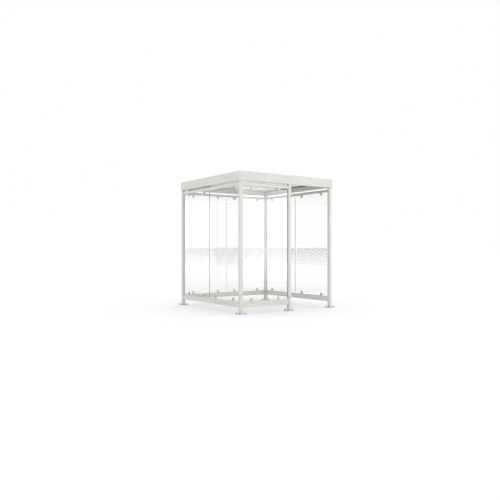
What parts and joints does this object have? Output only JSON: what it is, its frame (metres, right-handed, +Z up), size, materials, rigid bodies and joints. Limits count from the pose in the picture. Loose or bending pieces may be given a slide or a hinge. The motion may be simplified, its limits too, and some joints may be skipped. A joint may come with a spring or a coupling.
{
  "type": "glazed canopy shelter",
  "caption": "Square free-standing canopy shelter: tube posts on bolted feet, clamped clear glass walls with a dot band, open doorway, and a flat roof behind a deep edge.",
  "frame": {"origin": "on the ground, at the middle of the square plan", "axes": "+X to the right along the front, which has the doorway in its right half; +Y to the back; +Z up"},
  "size_m": [2.071, 2.071, 2.31],
  "materials": {
    "frame_paint": "satin powder coat",
    "roof_edge_paint": "satin powder coat",
    "base_plate_paint": "satin powder coat",
    "ledge_paint": "satin powder coat",
    "coated_sheet": "coil coated",
    "clear_glass": "clear",
    "clamp_metal": "satin",
    "pad_rubber": "matte"
  },
  "bodies": {
    "root": {"back_clamp_pads": "pad_rubber", "back_left_base_plate": "base_plate_paint", "back_left_glass": "clear_glass", "back_left_post": "frame_paint", "back_lower_clamps": "clamp_metal", "back_lower_rail": "frame_paint", "back_right_base_plate": "base_plate_paint", "back_right_glass": "clear_glass", "back_right_post": "frame_paint", "back_roof_beam": "roof_edge_paint", "back_sheet_ledge": "ledge_paint", "back_upper_clamps": "clamp_metal", "back_upper_rail": "frame_paint", "door_base_plate": "base_plate_paint", "door_post": "frame_paint", "front_clamp_pads": "pad_rubber", "front_glass": "clear_glass", "front_left_base_plate": "base_plate_paint", "front_left_post": "frame_paint", "front_lower_clamps": "clamp_metal", "front_lower_rail": "frame_paint", "front_right_base_plate": "base_plate_paint", "front_right_post": "frame_paint", "front_roof_beam": "roof_edge_paint", "front_sheet_ledge": "ledge_paint", "front_upper_clamps": "clamp_metal", "front_upper_rail": "frame_paint", "left_back_glass": "clear_glass", "left_clamp_pads": "pad_rubber", "left_front_glass": "clear_glass", "left_lower_clamps": "clamp_metal", "left_lower_rail": "frame_paint", "left_roof_beam": "roof_edge_paint", "left_upper_clamps": "clamp_metal", "left_upper_rail": "frame_paint", "right_back_glass": "clear_glass", "right_clamp_pads": "pad_rubber", "right_front_glass": "clear_glass", "right_lower_clamps": "clamp_metal", "right_lower_rail": "frame_paint", "right_roof_beam": "roof_edge_paint", "right_upper_clamps": "clamp_metal", "right_upper_rail": "frame_paint", "roof_sheet": "coated_sheet"}
  },
  "joints": []
}
